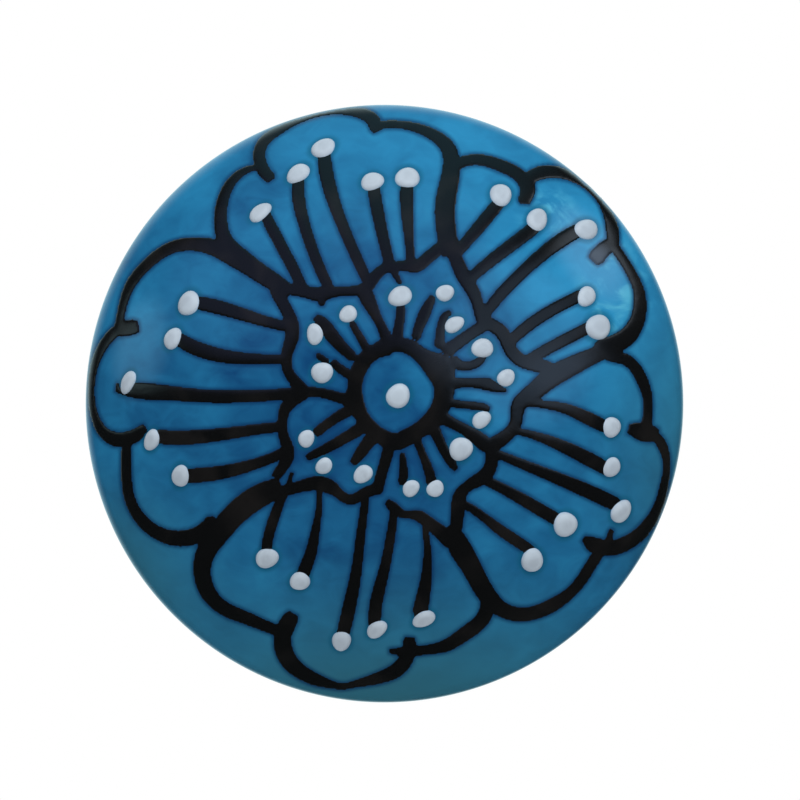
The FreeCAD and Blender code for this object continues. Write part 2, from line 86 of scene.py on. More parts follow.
# Every bead is (across, down, length, width, turn) in the photograph's pixels.
# The turn is in degrees, from the level towards the upper right.
BEADS = {
    "centre": [(398.1, 396, 25.5, 23.5, 35)],
    "upper_left": [
        (261, 213.5, 25, 15.5, 38), (298.6, 174.6, 26, 17, 38), (323.5, 149, 26.5, 17.5, 25),
        (372.5, 182.7, 23.5, 18.5, 12), (407.4, 179, 24.5, 21.5, 10)],
    "upper_right": [
        (500.3, 196, 22.5, 22.5, 0), (536.5, 220.5, 23.5, 20.5, 65), (585.5, 230, 23.5, 21, -10),
        (585.5, 297, 21, 18.5, 75), (597, 327.5, 26.5, 24.5, 70)],
    "right": [
        (610.5, 427.1, 21, 18.5, 65), (610.6, 467, 20.5, 17.5, 60), (620.2, 511, 25.5, 18.5, 62),
        (564.4, 523.8, 26, 23.5, 55), (531.5, 559.3, 24, 22.5, 60)],
    "lower": [
        (267.8, 557.2, 23, 20.5, 20), (300.5, 579.9, 21, 18.5, 25), (341.7, 639.8, 20, 20, 0),
        (377, 628.2, 22, 16.5, 32), (423.8, 617.8, 24, 16, 28)],
    "left": [
        (190, 303.8, 27, 20, 65), (174, 338.8, 23.5, 16.5, 58), (129.2, 382.4, 24.5, 14, 67),
        (153, 439.7, 22.5, 15.5, 75), (181.8, 475.5, 23, 17.5, 85)],
    "inner_first": [
        (348.6, 314.8, 18.5, 17, 20), (315.5, 334.7, 21.5, 17, 95), (322.8, 372.8, 22.5, 21, 45)],
    "inner_second": [
        (400.2, 297.2, 25.5, 19.5, 18), (444.6, 293.8, 18.5, 17, 10), (453.8, 325.2, 21, 15.5, 35)],
    "inner_third": [
        (481.7, 348.6, 23, 19, 12), (505.2, 378, 19.5, 16.5, 28), (480.8, 419.6, 20, 16.5, 35)],
    "inner_fourth": [
        (460.3, 448.6, 24.5, 23, 60), (434.9, 487.8, 19, 16, 42), (410.9, 487.6, 18.5, 16, 35)],
    "inner_fifth": [
        (363.4, 473.5, 20.5, 17.5, 40), (324.6, 465.4, 18.5, 15.5, 55), (307.2, 438.3, 19, 15.5, 60)],
}


# The glaze's surface

RIM_ACROSS = HEAD_RADIUS - RIM_RADIUS
BALL_OUT = FACE_OUT - BALL_RADIUS
RIM_OUT = BALL_OUT + math.sqrt((BALL_RADIUS - RIM_RADIUS) ** 2 - RIM_ACROSS**2)
SEAM_RADIUS = BALL_RADIUS * RIM_ACROSS / (BALL_RADIUS - RIM_RADIUS)


def glaze_out(radius):
    """How far out from the door the glaze is at a radius: the ball's cap, then the rim's round.

    Each is its middle's distance out, plus the root of its own radius squared less the way across squared.
    """
    on_ball = BALL_OUT + np.sqrt(np.maximum(BALL_RADIUS**2 - radius**2, 0))
    on_rim = RIM_OUT + np.sqrt(np.maximum(RIM_RADIUS**2 - np.maximum(radius - RIM_ACROSS, 0) ** 2, 0))
    return np.where(radius <= SEAM_RADIUS, on_ball, on_rim)


def glaze_place(x, z, lift):
    """Points over the glaze seen from the front: each starts on the surface and is lifted along its normal.

    The normal points away from the ball's centre, and on the rim away from the middle of its round.
    """
    radius = np.hypot(x, z)
    out = glaze_out(radius)
    on_ball = radius <= SEAM_RADIUS
    share = (radius - RIM_ACROSS) / np.maximum(radius, NEARLY_NOTHING)
    normal_x = np.where(on_ball, x / BALL_RADIUS, x * share / RIM_RADIUS)
    normal_z = np.where(on_ball, z / BALL_RADIUS, z * share / RIM_RADIUS)
    normal_out = np.where(on_ball, (out - BALL_OUT) / BALL_RADIUS, (out - RIM_OUT) / RIM_RADIUS)
    return np.stack([x + normal_x * lift, -(out + normal_out * lift), z + normal_z * lift], axis=-1)


# Making meshes

def new_piece(name, corners, faces, smooth=True):
    """A mesh object from an array of corners and lists of faces, at the origin."""
    mesh = bpy.data.meshes.new(name)
    mesh.from_pydata(corners.reshape(-1, 3).tolist(), [], faces)
    if smooth:
        mesh.shade_smooth()
    piece = bpy.data.objects.new(name, mesh)
    bpy.context.scene.collection.objects.link(piece)
    return piece


def corners_of(mesh):
    """The corners of a mesh as an array."""
    corners = np.zeros(len(mesh.vertices) * 3, np.float32)
    mesh.vertices.foreach_get("co", corners)
    return corners.reshape(-1, 3).astype(float)


def ring_faces(rings, sides, looped=False):
    """The quads between each ring of corners and the next, and from the last to the first where looped."""
    bands = rings if looped else rings - 1
    ring, side = np.meshgrid(np.arange(bands), np.arange(sides), indexing="ij")
    here = ring * sides
    below = (ring + 1) % rings * sides
    following = (side + 1) % sides
    quads = np.stack([here + side, below + side, below + following, here + following], -1)
    return quads.reshape(-1, 4)


def pole_faces(rings, sides):
    """The triangles that close a run of rings at both ends. The two poles' corners come after the rings'."""
    side = np.arange(sides)
    following = (side + 1) % sides
    last = (rings - 1) * sides
    first_pole = np.stack([np.full(sides, rings * sides), side, following], -1)
    last_pole = np.stack([np.full(sides, rings * sides + 1), last + following, last + side], -1)
    return first_pole.tolist() + last_pole.tolist()


def turned_corners(radius, out, sides):
    """Rings about the knob's axis, each at a distance out. The radius may change round a ring."""
    angle = np.linspace(0, 2 * np.pi, sides, endpoint=False)
    out = np.asarray(out, float)[:, None]
    return np.stack([radius * np.cos(angle), -out + 0 * radius * angle, radius * np.sin(angle)], -1)


def turned_solid(name, profile, sides):
    """A closed form turned about the knob's axis. The profile runs from pole to pole, front to back."""
    rings = turned_corners(profile[1:-1, 0][:, None], profile[1:-1, 1], sides)
    poles = np.array([(0, -profile[0, 1], 0), (0, -profile[-1, 1], 0)])
    faces = ring_faces(len(rings), sides).tolist() + pole_faces(len(rings), sides)
    return new_piece(name, np.concatenate([rings.reshape(-1, 3), poles]), faces)


def store(piece, name, values):
    """A number for each corner of the mesh, which the materials read by name."""
    attribute = piece.data.attributes.new(name, "FLOAT", "POINT")
    attribute.data.foreach_set("value", np.asarray(values, np.float32))


def arc_run(across, out, radius, start, end, steps):
    """Points along an arc, with its angles in degrees from the way out towards the rim."""
    angle = np.radians(np.linspace(start, end, steps))
    return np.stack([across + radius * np.sin(angle), out + radius * np.cos(angle)], -1)


def eased_profile(corners, round_radius, steps=4):
    """A looped profile with every corner rounded.

    Each corner gives way to a curve between two points on its sides. They are a round's radius from it or,
    where a side is short, 0.4 of the side. A place on the curve, at a share of the way along it, is the first
    point times (1 - share) squared, the corner times 2 share (1 - share) and the second point times share
    squared.
    """
    most_of_side = 0.4
    corners = np.asarray(corners, float)
    ends = []
    for way in (-1, 1):
        side = np.roll(corners, -way, axis=0) - corners
        length = np.linalg.norm(side, axis=1)[:, None]
        ends.append(corners + side / length * np.minimum(round_radius, most_of_side * length))
    first, second = (end[:, None] for end in ends)
    share = np.linspace(0, 1, steps)[None, :, None]
    curve = (1 - share) ** 2 * first + 2 * share * (1 - share) * corners[:, None] + share**2 * second
    return curve.reshape(-1, 2)


# The drawing on the face, taken from the frame's lines

def front_outline(node):
    """The outline of a node seen from the front: the two ends (x, z) of each of its short straight runs.

    The triangles that face the front are laid flat, and an edge that only one of them has is on the outline.
    """
    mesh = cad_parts[node].data
    corners = corners_of(mesh)
    mesh.calc_loop_triangles()
    faces = np.zeros(len(mesh.loop_triangles) * 3, np.int32)
    mesh.loop_triangles.foreach_get("vertices", faces)
    faces = faces.reshape(-1, 3)
    first, second, third = (corners[faces[:, i]] for i in range(3))
    normal = np.cross(second - first, third - first)
    length = np.linalg.norm(normal, axis=1)
    least_facing = 0.2
    facing = (normal[:, 1] < -least_facing * length) & (length > 0)
    grain = 1e-7
    places, same = np.unique(np.round(corners[:, [0, 2]] / grain), axis=0, return_inverse=True)
    front = same.reshape(-1)[faces[facing]]
    edges = np.sort(np.concatenate([front[:, [0, 1]], front[:, [1, 2]], front[:, [2, 0]]]), axis=1)
    edges, uses = np.unique(edges, axis=0, return_counts=True)
    edges = edges[(uses == 1) & (edges[:, 0] != edges[:, 1])]
    return places[edges[:, 0]] * grain, places[edges[:, 1]] * grain


def points_along(starts, ends, spacing):
    """Points on every run of an outline, no further apart than the spacing."""
    steps = np.maximum(np.ceil(np.linalg.norm(ends - starts, axis=1) / spacing), 1).astype(int)
    run = np.repeat(np.arange(len(steps)), steps)
    step = np.arange(len(run)) - np.repeat(np.cumsum(steps) - steps, steps)
    share = (step / steps[run])[:, None]
    return starts[run] * (1 - share) + ends[run] * share


def inside_outline(starts, ends, side):
    """Which places of a square grid are inside an outline.

    Every run is met with the grid's level lines that it spans. A place is inside when an odd number of these
    meetings is to its left.
    """
    cell = side[1] - side[0]
    low = np.minimum(starts[:, 1], ends[:, 1])
    high = np.maximum(starts[:, 1], ends[:, 1])
    first = np.ceil((low - side[0]) / cell).astype(int)
    count = np.ceil((high - side[0]) / cell).astype(int) - first
    run = np.repeat(np.arange(len(count)), count)
    row = first[run] + np.arange(len(run)) - np.repeat(np.cumsum(count) - count, count)
    share = (side[row] - starts[run, 1]) / (ends[run, 1] - starts[run, 1])
    across = starts[run, 0] + share * (ends[run, 0] - starts[run, 0])
    column = np.ceil((across - side[0]) / cell).astype(int)
    meetings = np.zeros((len(side), len(side)), int)
    np.add.at(meetings, (column, row), 1)
    return np.cumsum(meetings, axis=0) % 2 == 1


def nearest_on_outline(points, side):
    """For every place of a square grid: how far the nearest outline point is, and which it is.

    A point starts at the place beside it and is offered on in strides that shrink. Each place keeps the
    nearest.
    """
    x, z = np.meshgrid(side, side, indexing="ij")
    column, row = np.round((points - side[0]) / (side[1] - side[0])).astype(int).T
    order = np.argsort(-np.hypot(side[column] - points[:, 0], side[row] - points[:, 1]))
    nearest = np.full(x.shape, -1)
    nearest[column[order], row[order]] = order
    distance = np.full(x.shape, np.inf)
    for stride in (0, 16, 8, 4, 2, 1, 1):
        for across in (-stride, 0, stride):
            for up in (-stride, 0, stride):
                offered = np.roll(nearest, (across, up), (0, 1))
                gap = np.hypot(x - points[offered, 0], z - points[offered, 1])
                nearer = (offered >= 0) & (gap < distance)
                nearest = np.where(nearer, offered, nearest)
                distance = np.where(nearer, gap, distance)
    return distance, nearest


def spread(radius):
    """How far the glaze of a line spreads past the frame's line: twice as far in the middle of the flower."""
    least = 0.035 * MM
    middle_edge = 8 * MM
    fade = 3 * MM
    middle = np.clip((middle_edge - radius) / fade, 0, 1)
    return least * (1 + middle)


class LineField:
    """How far every place of the face is from the edge of the brushed lines, positive inside them."""

    def __init__(self, cell):
        starts, ends = front_outline("flower_lines")
        self.side = np.arange(-HEAD_RADIUS - cell, HEAD_RADIUS + 2 * cell, cell)
        points = points_along(starts, ends, 0.03 * MM)
        distance, nearest = nearest_on_outline(points, self.side)
        distance = np.minimum(distance, HEAD_RADIUS)
        x, z = np.meshgrid(self.side, self.side, indexing="ij")
        grown = spread(np.hypot(x, z))
        self.distance = np.where(inside_outline(starts, ends, self.side), distance, -distance) + grown
        self.inside = (self.distance > 0) & (np.hypot(x, z) < HEAD_RADIUS - cell)
        share = (grown / np.maximum(distance, NEARLY_NOTHING))[..., None]
        self.edge = points[nearest] * (1 - share) + np.stack([x, z], -1) * share

    def at(self, x, z):
        """The distance at any places, worked out from the four grid places round each."""
        cell = self.side[1] - self.side[0]
        across = (x - self.side[0]) / cell
        up = (z - self.side[0]) / cell
        column = across.astype(int)
        row = up.astype(int)
        across -= column
        up -= row
        left = self.distance[column, row] * (1 - up) + self.distance[column, row + 1] * up
        right = self.distance[column + 1, row] * (1 - up) + self.distance[column + 1, row + 1] * up
        return left * (1 - across) + right * across


def smoothed(field, times):
    """A grid of numbers, each replaced by the mean of itself, counted twice, and its four neighbours."""
    for _ in range(times):
        edged = np.pad(field, 1, mode="edge")
        field = (field * 2 + edged[:-2, 1:-1] + edged[2:, 1:-1] + edged[1:-1, :-2] + edged[1:-1, 2:]) / 6
    return field


def bead_shapes():
    """Every bead as (x, z, half length, half width, turn) in metres and radians."""
    rows = []
    for group in BEADS.values():
        for across, down, length, width, turn in group:
            x = (across - PHOTO_CENTRE_ACROSS) * PIXEL
            z = (PHOTO_CENTRE_DOWN - down) * PIXEL
            rows.append((x, z, length * PIXEL / 2, width * PIXEL / 2, math.radians(turn)))
    return rows


def bead_nearness(x, z):
    """How near each place is to a bead: 1 inside it and at its edge, falling to 0 a bead's radius away."""
    nearness = np.zeros(len(x))
    for bead_x, bead_z, half_length, half_width, turn in bead_shapes():
        along = (x - bead_x) * math.cos(turn) + (z - bead_z) * math.sin(turn)
        across = (z - bead_z) * math.cos(turn) - (x - bead_x) * math.sin(turn)
        reach = np.hypot(along / half_length, across / half_width)
        nearness = np.maximum(nearness, np.clip(2 - reach, 0, 1))
    return nearness


# Materials

def new_material(name):
    """A material, with its nodes, its links and its main shader."""
    material = bpy.data.materials.new(name)
    material.use_nodes = True
    nodes = material.node_tree.nodes
    return material, nodes, material.node_tree.links, nodes["Principled BSDF"]


def add(nodes, kind, **settings):
    """A node of a kind, with its inputs or its own settings by name."""
    node = nodes.new(kind)
    for name, value in settings.items():
        label = name.replace("_", " ")
        if label in node.inputs:
            node.inputs[label].default_value = value
        else:
            setattr(node, name, value)
    return node


def feed(links, socket, value):
    """Gives a socket a value, or a link where the value is another socket."""
    if isinstance(value, bpy.types.NodeSocket):
        links.new(value, socket)
    else:
        socket.default_value = value


def blend_colours(nodes, links, share, first, second):
    """A colour between two, by a share. Each is a socket or a value."""
    mix = nodes.new("ShaderNodeMix")
    mix.data_type = "RGBA"
    feed(links, mix.inputs[0], share)
    feed(links, mix.inputs[6], first)
    feed(links, mix.inputs[7], second)
    return mix.outputs[2]


def ramp(nodes, links, source, low, high):
    """A source's values between low and high eased to 0 to 1."""
    node = nodes.new("ShaderNodeMapRange")
    node.interpolation_type = "SMOOTHSTEP"
    links.new(source, node.inputs["Value"])
    node.inputs["From Min"].default_value = low
    node.inputs["From Max"].default_value = high
    return node.outputs["Result"]


def combine(nodes, links, operation, *values, clamp=False):
    """Arithmetic on numbers or sockets."""
    node = nodes.new("ShaderNodeMath")
    node.operation = operation
    node.use_clamp = clamp
    for socket, value in zip(node.inputs, values):
        feed(links, socket, value)
    return node.outputs[0]


def patch(nodes, links, across, down, reach_across, reach_down, core=0.2):
    """A share that is 1 in the middle of an oval patch of the face and 0 outside it, in photograph pixels."""
    place = nodes.new("ShaderNodeTexCoord")
    centre = nodes.new("ShaderNodeMapping")
    centre.vector_type = "TEXTURE"
    centre.inputs["Location"].default_value = (
        (across - PHOTO_CENTRE_ACROSS) * PIXEL, 0, (PHOTO_CENTRE_DOWN - down) * PIXEL)
    flat = 1000
    centre.inputs["Scale"].default_value = (reach_across * PIXEL, flat, reach_down * PIXEL)
    length = add(nodes, "ShaderNodeVectorMath", operation="LENGTH")
    links.new(place.outputs["Object"], centre.inputs["Vector"])
    links.new(centre.outputs["Vector"], length.inputs[0])
    return ramp(nodes, links, length.outputs["Value"], 1, core)


def cloud_group():
    """Soft patches of more and less: large clouds, brushed streaks and rare small specks."""
    group = bpy.data.node_groups.new("Brushed clouds", "ShaderNodeTree")
    for name in ("Cloud scale", "Streak scale"):
        group.interface.new_socket(name, in_out="INPUT", socket_type="NodeSocketFloat")
    for name in ("Clouds", "Streaks", "Specks"):
        group.interface.new_socket(name, in_out="OUTPUT", socket_type="NodeSocketFloat")
    nodes = group.nodes
    links = group.links
    inside = nodes.new("NodeGroupInput")
    outside = nodes.new("NodeGroupOutput")
    place = nodes.new("ShaderNodeTexCoord")
    clouds = add(nodes, "ShaderNodeTexNoise", Detail=2.5, Roughness=0.5, Distortion=0.5)
    links.new(place.outputs["Object"], clouds.inputs["Vector"])
    links.new(inside.outputs["Cloud scale"], clouds.inputs["Scale"])
    stretch = add(nodes, "ShaderNodeMapping")
    stretch.inputs["Rotation"].default_value = (0, math.radians(-35), 0)
    stretch.inputs["Scale"].default_value = (1, 1, 1.5)
    streaks = add(nodes, "ShaderNodeTexNoise", Detail=3.0, Roughness=0.55, Distortion=0.8)
    links.new(place.outputs["Object"], stretch.inputs["Vector"])
    links.new(stretch.outputs["Vector"], streaks.inputs["Vector"])
    links.new(inside.outputs["Streak scale"], streaks.inputs["Scale"])
    specks = add(nodes, "ShaderNodeTexVoronoi", Scale=260.0)
    links.new(place.outputs["Object"], specks.inputs["Vector"])
    near_speck = ramp(nodes, links, specks.outputs["Distance"], 0.055, 0.03)
    chosen = nodes.new("ShaderNodeSeparateColor")
    links.new(specks.outputs["Color"], chosen.inputs[0])
    rare = ramp(nodes, links, chosen.outputs[0], 0.8, 0.85)
    links.new(clouds.outputs["Fac"], outside.inputs["Clouds"])
    links.new(streaks.outputs["Fac"], outside.inputs["Streaks"])
    links.new(combine(nodes, links, "MULTIPLY", near_speck, rare), outside.inputs["Specks"])
    return group


def place_clouds(nodes, cloud_scale, streak_scale):
    """The clouds' group in a material, at its own scales."""
    node = nodes.new("ShaderNodeGroup")
    node.node_tree = CLOUDS
    node.inputs["Cloud scale"].default_value = cloud_scale
    node.inputs["Streak scale"].default_value = streak_scale
    return node


CLOUDS = cloud_group()

# Patches of the face are (across, down, reach across, reach down) in the photograph's pixels.
# Where the glaze is thinner, and so paler, or thicker, with how much paler or deeper as a fifth number. Two of
# them are painted light: the patch at the upper right is a painted highlight, and the one at the bottom rim is
# painted shade.
GLAZE_TONE_AND_LIGHT_PATCHES = (
    (595, 270, 130, 130, 0.5), (400, 135, 200, 70, 0.05), (175, 310, 100, 90, 0.12),
    (500, 400, 90, 80, 0.25), (430, 388, 50, 50, 0.35), (252, 188, 60, 55, -0.3),
    (312, 350, 60, 45, -0.1), (625, 390, 70, 90, 0.2), (235, 385, 80, 60, 0.2),
    (340, 316, 125, 60, 0.24), (465, 192, 115, 50, 0.28), (378, 345, 75, 60, 0.18),
    (378, 578, 140, 100, -0.26), (300, 450, 60, 40, 0.14), (515, 133, 95, 45, 0.3),
    (205, 165, 60, 55, 0.18), (120, 255, 60, 70, -0.2), (600, 590, 110, 90, -0.15),
    (650, 480, 80, 120, -0.12), (390, 715, 170, 70, -0.5))

# Painted highlight: a window's reflection broken into small spots by the glaze, round the upper right beads
HIGHLIGHT_SPOT_PATCHES = ((612, 296, 48, 75), (548, 214, 38, 32))

# Painted reflection on the black lines, and how much: the upper right notch, the divider, the hub's right
LINE_SHEEN_PATCHES = ((594, 258, 24, 20, 1.0), (560, 372, 70, 40, 0.3), (450, 352, 55, 45, 0.16))

# Where the glaze turns greener, outside the lower rim and the right rim
GREENER_PATCHES = ((384, 770, 560, 250), (810, 470, 260, 300), (60, 600, 200, 160))


def turquoise_glaze(look):
    """Blue glaze brushed in uneven coats: deep in the middle, paler towards the rim, with clouds and streaks.

    It is darker where it pools against a line, greener towards the lower rim, and darker and greener round a
    bead, partly from glaze pooled there and partly from painted shade.
    """
    material, nodes, links, shader = new_material("turquoise glaze")
    clouds = place_clouds(nodes, 190, 480)
    pale = combine(nodes, links, "MULTIPLY_ADD", patch(nodes, links, 340, 388, 255, 200, 0.3), -0.46, 0.5)
    # Glaze thickness patches, with a painted highlight at the upper right and painted shade at the bottom rim
    for across, down, reach_across, reach_down, strength in GLAZE_TONE_AND_LIGHT_PATCHES:
        share = patch(nodes, links, across, down, reach_across, reach_down)
        pale = combine(nodes, links, "MULTIPLY_ADD", share, strength, pale)
    cloud = combine(nodes, links, "MULTIPLY_ADD", clouds.outputs["Clouds"], 0.9, -0.45)
    streak = combine(nodes, links, "MULTIPLY_ADD", clouds.outputs["Streaks"], 0.5, -0.25)
    uneven = combine(nodes, links, "ADD", cloud, streak)
    pale = combine(nodes, links, "ADD", pale, uneven, clamp=True)
    blue = blend_colours(nodes, links, pale, look.glaze_deep, look.glaze_pale)
    for across, down, reach_across, reach_down in GREENER_PATCHES:
        share = patch(nodes, links, across, down, reach_across, reach_down, 0.1)
        blue = blend_colours(nodes, links, share, blue, look.glaze_green)
    broken = ramp(nodes, links, clouds.outputs["Streaks"], 0.4, 0.68)
    # Painted highlight: pale broken spots that stand in for a window's reflection
    for across, down, reach_across, reach_down in HIGHLIGHT_SPOT_PATCHES:
        share = patch(nodes, links, across, down, reach_across, reach_down)
        highlight_spots = combine(nodes, links, "MULTIPLY", share, broken)
        blue = blend_colours(nodes, links, highlight_spots, blue, look.glaze_painted_highlight)
    line_near = add(nodes, "ShaderNodeAttribute", attribute_name="line_near")
    bead_near = add(nodes, "ShaderNodeAttribute", attribute_name="bead_near")
    pooled = ramp(nodes, links, line_near.outputs["Fac"], 0.0, 1.3)
    blue = blend_colours(nodes, links, pooled, blue, look.glaze_pooled)
    # Darker round each bead: partly glaze pooled there, partly painted shade cast by the bead
    bead_pool_and_shade = combine(nodes, links, "MULTIPLY", ramp(nodes, links, bead_near.outputs["Fac"], 0.45, 1.0), 0.7)
    blue = blend_colours(nodes, links, bead_pool_and_shade, blue, look.glaze_pool_and_shade_round_beads)
    speck = combine(nodes, links, "MULTIPLY", clouds.outputs["Specks"], 0.5)
    blue = blend_colours(nodes, links, speck, blue, look.bead_white)
    links.new(blue, shader.inputs["Base Color"])
    waves = add(nodes, "ShaderNodeBump", Strength=0.25, Distance=0.1 * MM)
    links.new(clouds.outputs["Clouds"], waves.inputs["Height"])
    links.new(waves.outputs["Normal"], shader.inputs["Normal"])
    shader.inputs["Roughness"].default_value = 0.1
    return material


def black_line_glaze(look):
    """Black trailed glaze, glossy, with a faint brown where it is thin and painted grey reflections in places.
    """
    material, nodes, links, shader = new_material("black line glaze")
    clouds = place_clouds(nodes, 260, 600)
    thin = ramp(nodes, links, clouds.outputs["Clouds"], 0.45, 0.75)
    colour = blend_colours(nodes, links, thin, look.line_black, look.line_brown)
    # Painted reflection: grey patches on the lines where a window's sheen falls
    for across, down, reach_across, reach_down, strength in LINE_SHEEN_PATCHES:
        share = patch(nodes, links, across, down, reach_across, reach_down)
        share = combine(nodes, links, "MULTIPLY", share, strength)
        colour = blend_colours(nodes, links, share, colour, look.line_painted_sheen)
    speck = combine(nodes, links, "MULTIPLY", clouds.outputs["Specks"], 0.25)
    colour = blend_colours(nodes, links, speck, colour, look.bead_edge)
    links.new(colour, shader.inputs["Base Color"])
    waves = add(nodes, "ShaderNodeBump", Strength=0.15, Distance=0.1 * MM)
    links.new(clouds.outputs["Streaks"], waves.inputs["Height"])
    links.new(waves.outputs["Normal"], shader.inputs["Normal"])
    shader.inputs["Roughness"].default_value = 0.2
    return material


def white_dot_glaze(look):
    """Thick white glaze, mottled, with painted shade greying each bead's top, and bluer at its edge."""
    material, nodes, links, shader = new_material("white dot glaze")
    clouds = place_clouds(nodes, 900, 1500)
    height = add(nodes, "ShaderNodeAttribute", attribute_name="bead_height")
    rising = ramp(nodes, links, height.outputs["Fac"], 0.0, 0.55)
    colour = blend_colours(nodes, links, rising, look.bead_edge, look.bead_white)
    top = ramp(nodes, links, height.outputs["Fac"], 0.85, 1.0)
    mottle = ramp(nodes, links, clouds.outputs["Clouds"], 0.35, 0.65)
    # Painted shade: each bead's top is greyed, on top of the real mottle
    top_painted_shade = combine(nodes, links, "MULTIPLY", top, 0.25)
    greyer = combine(nodes, links, "MULTIPLY_ADD", mottle, 0.45, top_painted_shade)
    colour = blend_colours(nodes, links, greyer, colour, look.bead_mottle_and_top_shade)
    links.new(colour, shader.inputs["Base Color"])
    shader.inputs["Roughness"].default_value = 0.3
    shader.inputs["Specular IOR Level"].default_value = 0.35
    return material


def metal(name, colour, roughness, grain):
    """Turned metal: fine rings about the axis, in its polish and a little in its colour."""
    material, nodes, links, shader = new_material(name)
    place = nodes.new("ShaderNodeTexCoord")
    parts = nodes.new("ShaderNodeSeparateXYZ")
    links.new(place.outputs["Object"], parts.inputs[0])
    level = combine(nodes, links, "POWER", parts.outputs["Z"], 2)
    square = combine(nodes, links, "MULTIPLY_ADD", parts.outputs["X"], parts.outputs["X"], level)
    rings = nodes.new("ShaderNodeCombineXYZ")
    links.new(combine(nodes, links, "SQRT", square), rings.inputs["X"])
    links.new(parts.outputs["Y"], rings.inputs["Y"])
    noise = add(nodes, "ShaderNodeTexNoise", Scale=2600.0, Detail=2.0)
    links.new(rings.outputs[0], noise.inputs["Vector"])
    polish = nodes.new("ShaderNodeMapRange")
    links.new(noise.outputs["Fac"], polish.inputs["Value"])
    polish.inputs["To Min"].default_value = roughness - grain
    polish.inputs["To Max"].default_value = roughness + grain
    links.new(polish.outputs["Result"], shader.inputs["Roughness"])
    shade = ramp(nodes, links, noise.outputs["Fac"], 0.3, 0.7)
    worn = (0.9 * colour[0], 0.88 * colour[1], 0.85 * colour[2], 1)
    links.new(blend_colours(nodes, links, shade, worn, colour), shader.inputs["Base Color"])
    shader.inputs["Metallic"].default_value = 1
    return material


def cement_material():
    """Pale grey cement with a fine grain."""
    material, nodes, links, shader = new_material("cement")
    place = nodes.new("ShaderNodeTexCoord")
    noise = add(nodes, "ShaderNodeTexNoise", Scale=1500.0, Detail=4.0)
    links.new(place.outputs["Object"], noise.inputs["Vector"])
    colour = blend_colours(nodes, links, noise.outputs["Fac"], (0.3, 0.29, 0.27, 1), (0.5, 0.49, 0.46, 1))
    links.new(colour, shader.inputs["Base Color"])
    shader.inputs["Roughness"].default_value = 0.9
    return material


# What a user would change

def colour_setting(name, description, *value):
    """A colour that the panel shows, from its red, green and blue."""
    return bpy.props.FloatVectorProperty(
        name=name, description=description, subtype="COLOR", size=4, min=0, max=1, default=(*value, 1))


def length_setting(name, description, value, low, high):
    """A length that the panel shows, with its limits, in metres."""
    return bpy.props.FloatProperty(
        name=name, description=description, subtype="DISTANCE", unit="LENGTH",
        default=value, min=low, max=high)


class KnobLook(bpy.types.PropertyGroup):
    """Colours and raised heights of the painted head."""
    glaze_deep: colour_setting("Deep glaze", "Where the blue glaze is thick", 0.004, 0.052, 0.155)
    glaze_pale: colour_setting("Pale glaze", "Where the blue glaze is thin", 0.021, 0.235, 0.455)
    glaze_green: colour_setting("Greenish glaze", "Towards the lower rim", 0.029, 0.148, 0.205)
    # Painted highlight: the colour of a window's broken reflection in the glaze
    glaze_painted_highlight: colour_setting("Painted highlight glaze", "Broken spots round the upper right beads", 0.07, 0.36, 0.54)
    glaze_pooled: colour_setting("Pooled glaze", "Where the glaze meets a black line", 0.003, 0.03, 0.10)
    # Partly pooled glaze round a bead, partly painted shade
    glaze_pool_and_shade_round_beads: colour_setting("Glaze round beads", "Where the glaze meets a bead", 0.004, 0.09, 0.17)
    line_black: colour_setting("Line black", "The trailed lines", 0.003, 0.003, 0.0035)
    # Painted reflection: the grey that stands in for a sheen on the black lines
    line_painted_sheen: colour_setting("Line sheen", "Painted reflection on the lines", 0.04, 0.055, 0.08)
    line_brown: colour_setting("Line brown", "The trailed lines where they are thin", 0.009, 0.008, 0.008)
    bead_white: colour_setting("Bead white", "The raised beads", 0.43, 0.505, 0.58)
    bead_edge: colour_setting("Bead edge", "The beads' outer edge", 0.26, 0.40, 0.56)
    # The beads' grey mottle, and the painted shade on their tops
    bead_mottle_and_top_shade: colour_setting("Bead middle", "The beads' tops", 0.33, 0.385, 0.45)
    line_height: length_setting("Line height", "How far the lines stand up", 0.04 * MM, 0, 0.3 * MM)
    line_shoulder: length_setting(
        "Line shoulder", "Width over which a line's edge is rounded", 0.4 * MM, 0.05 * MM, 1 * MM)
    bead_height: length_setting("Bead height", "How far a bead stands up", 0.36 * MM, 0, 0.5 * MM)


class KnobMetal(bpy.types.PropertyGroup):
    """The metal parts."""
    brass: colour_setting("Brass", "The ferrule", 0.70, 0.46, 0.19)
    steel: colour_setting("Steel", "The bolt", 0.60, 0.60, 0.60)
    edge_round: length_setting("Edge round", "How far the ferrule's edges are eased", 0.15 * MM, 0, 0.3 * MM)
    thread_pitch: length_setting(
        "Thread pitch", "From one turn of the thread to the next", 0.7 * MM, 0.3 * MM, 2 * MM)
    thread_depth: length_setting("Thread depth", "How deep the thread is cut", 0.4 * MM, 0.1 * MM, 0.6 * MM)


class KnobStage(bpy.types.PropertyGroup):
    """The camera."""
    camera_distance: length_setting("Camera distance", "From the camera to the widest edge", 1.2, 0.2, 5)


# Pieces

